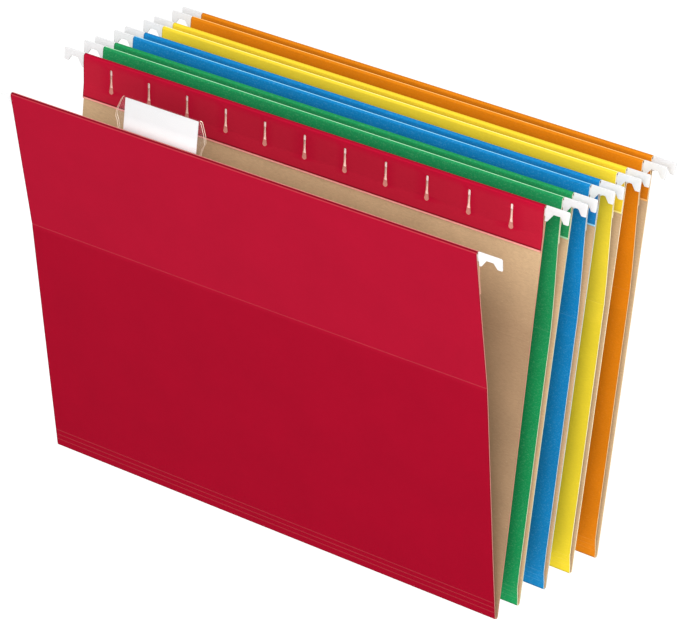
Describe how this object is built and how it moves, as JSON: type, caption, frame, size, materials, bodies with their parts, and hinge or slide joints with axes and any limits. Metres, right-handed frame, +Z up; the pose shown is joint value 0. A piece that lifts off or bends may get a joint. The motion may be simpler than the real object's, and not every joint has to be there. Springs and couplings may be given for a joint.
{
  "type": "hanging file folder set",
  "caption": "Set of hanging file folders in coloured card with steel rods and coated end hooks; the front folder stands open and has a clear index tab with an insert.",
  "frame": {"origin": "midway between the two rail seats of the rear (orange) folder's back rod, at the height of the rails' top edges", "axes": "+X along the rods to the folders' right, -Y towards the front (red) folder, +Z up"},
  "size_m": [0.3274, 0.1702, 0.2454],
  "materials": {
    "red_card": "matt coloured card, kraft brown on its inside",
    "green_card": "matt coloured card, kraft brown on its inside",
    "blue_card": "matt coloured card, kraft brown on its inside",
    "yellow_card": "matt coloured card, kraft brown on its inside",
    "orange_card": "matt coloured card, kraft brown on its inside",
    "rod_steel": "plain cold-rolled strip",
    "hook_coating": "white dipped coating, satin",
    "clear_plastic": "clear, glossy",
    "insert_card": "plain white card"
  },
  "bodies": {
    "orange_back_hanger": {"orange_back_rod": "rod_steel", "orange_back_left_hook": "hook_coating", "orange_back_right_hook": "hook_coating"},
    "orange_back": {"orange_back_panel": "orange_card"},
    "orange_front": {"orange_front_panel": "orange_card"},
    "orange_front_hanger": {"orange_front_rod": "rod_steel", "orange_front_left_hook": "hook_coating", "orange_front_right_hook": "hook_coating"},
    "yellow_back_hanger": {"yellow_back_rod": "rod_steel", "yellow_back_left_hook": "hook_coating", "yellow_back_right_hook": "hook_coating"},
    "yellow_back": {"yellow_back_panel": "yellow_card"},
    "yellow_front": {"yellow_front_panel": "yellow_card"},
    "yellow_front_hanger": {"yellow_front_rod": "rod_steel", "yellow_front_left_hook": "hook_coating", "yellow_front_right_hook": "hook_coating"},
    "blue_back_hanger": {"blue_back_rod": "rod_steel", "blue_back_left_hook": "hook_coating", "blue_back_right_hook": "hook_coating"},
    "blue_back": {"blue_back_panel": "blue_card"},
    "blue_front": {"blue_front_panel": "blue_card"},
    "blue_front_hanger": {"blue_front_rod": "rod_steel", "blue_front_left_hook": "hook_coating", "blue_front_right_hook": "hook_coating"},
    "green_back_hanger": {"green_back_rod": "rod_steel", "green_back_left_hook": "hook_coating", "green_back_right_hook": "hook_coating"},
    "green_back": {"green_back_panel": "green_card"},
    "green_front": {"green_front_panel": "green_card"},
    "green_front_hanger": {"green_front_rod": "rod_steel", "green_front_left_hook": "hook_coating", "green_front_right_hook": "hook_coating"},
    "red_back": {"red_back_panel": "red_card", "red_back_rod": "rod_steel", "red_back_left_hook": "hook_coating", "red_back_right_hook": "hook_coating"},
    "red_front": {"red_front_panel": "red_card", "red_front_rod": "rod_steel", "red_front_left_hook": "hook_coating", "red_front_right_hook": "hook_coating"},
    "index_tab": {"index_tab": "clear_plastic"},
    "tab_insert": {"tab_insert": "insert_card"}
  },
  "joints": [
    {"name": "orange_open", "type": "hinge", "parent": "orange_back", "child": "orange_front", "pos_m": [0, -0.00475, -0.23065], "axis": [1, 0, 0], "range_deg": [-1.25, 16]},
    {"name": "orange_back_swing", "type": "hinge", "parent": "orange_back_hanger", "child": "orange_back", "pos_m": [0, 0, 0], "axis": [1, 0, 0], "range_deg": [-8, 0.62]},
    {"name": "orange_front_hanger_swing", "type": "hinge", "parent": "orange_front", "child": "orange_front_hanger", "pos_m": [0, -0.0095, 0], "axis": [1, 0, 0], "range_deg": [-8, 0.62]},
    {"name": "yellow_slide", "type": "slide", "parent": "orange_back_hanger", "child": "yellow_back_hanger", "axis": [0, -1, 0], "range_m": [-0.00504, 0.06443]},
    {"name": "yellow_open", "type": "hinge", "parent": "yellow_back", "child": "yellow_front", "pos_m": [0, -0.03125, -0.23065], "axis": [1, 0, 0], "range_deg": [-1.25, 16]},
    {"name": "yellow_back_swing", "type": "hinge", "parent": "yellow_back_hanger", "child": "yellow_back", "pos_m": [0, -0.0265, 0], "axis": [1, 0, 0], "range_deg": [-8, 0.62]},
    {"name": "yellow_front_hanger_swing", "type": "hinge", "parent": "yellow_front", "child": "yellow_front_hanger", "pos_m": [0, -0.036, 0], "axis": [1, 0, 0], "range_deg": [-8, 0.62]},
    {"name": "blue_slide", "type": "slide", "parent": "yellow_back_hanger", "child": "blue_back_hanger", "axis": [0, -1, 0], "range_m": [-0.00504, 0.06443]},
    {"name": "blue_open", "type": "hinge", "parent": "blue_back", "child": "blue_front", "pos_m": [0, -0.05775, -0.23065], "axis": [1, 0, 0], "range_deg": [-1.25, 16]},
    {"name": "blue_back_swing", "type": "hinge", "parent": "blue_back_hanger", "child": "blue_back", "pos_m": [0, -0.053, 0], "axis": [1, 0, 0], "range_deg": [-8, 0.62]},
    {"name": "blue_front_hanger_swing", "type": "hinge", "parent": "blue_front", "child": "blue_front_hanger", "pos_m": [0, -0.0625, 0], "axis": [1, 0, 0], "range_deg": [-8, 0.62]},
    {"name": "green_slide", "type": "slide", "parent": "blue_back_hanger", "child": "green_back_hanger", "axis": [0, -1, 0], "range_m": [-0.00504, 0.06443]},
    {"name": "green_open", "type": "hinge", "parent": "green_back", "child": "green_front", "pos_m": [0, -0.08425, -0.23065], "axis": [1, 0, 0], "range_deg": [-1.25, 16]},
    {"name": "green_back_swing", "type": "hinge", "parent": "green_back_hanger", "child": "green_back", "pos_m": [0, -0.0795, 0], "axis": [1, 0, 0], "range_deg": [-8, 0.62]},
    {"name": "green_front_hanger_swing", "type": "hinge", "parent": "green_front", "child": "green_front_hanger", "pos_m": [0, -0.089, 0], "axis": [1, 0, 0], "range_deg": [-8, 0.62]},
    {"name": "red_slide", "type": "slide", "parent": "green_back_hanger", "child": "red_back", "axis": [0, -1, 0], "range_m": [-0.00504, 0.06443]},
    {"name": "red_open", "type": "hinge", "parent": "red_back", "child": "red_front", "pos_m": [0, -0.106, -0.2307], "axis": [1, 0, 0], "range_deg": [-13.5, 30]},
    {"name": "tab_unlock", "type": "slide", "parent": "red_front", "child": "index_tab", "axis": [0, 0.299, -0.9542], "range_m": [0, 0.0075]},
    {"name": "insert_slide", "type": "slide", "parent": "index_tab", "child": "tab_insert", "axis": [-1, 0, 0], "range_m": [0, 0.055]}
  ],
  "couplings": [
    {"joint": "orange_back_swing", "follows": "orange_open", "ratio": -0.5},
    {"joint": "orange_front_hanger_swing", "follows": "orange_open", "ratio": -0.5},
    {"joint": "yellow_slide", "follows": "orange_open", "m_per_rad": 0.2307},
    {"joint": "yellow_back_swing", "follows": "yellow_open", "ratio": -0.5},
    {"joint": "yellow_front_hanger_swing", "follows": "yellow_open", "ratio": -0.5},
    {"joint": "blue_slide", "follows": "yellow_open", "m_per_rad": 0.2307},
    {"joint": "blue_back_swing", "follows": "blue_open", "ratio": -0.5},
    {"joint": "blue_front_hanger_swing", "follows": "blue_open", "ratio": -0.5},
    {"joint": "green_slide", "follows": "blue_open", "m_per_rad": 0.2307},
    {"joint": "green_back_swing", "follows": "green_open", "ratio": -0.5},
    {"joint": "green_front_hanger_swing", "follows": "green_open", "ratio": -0.5},
    {"joint": "red_slide", "follows": "green_open", "m_per_rad": 0.2307}
  ]
}
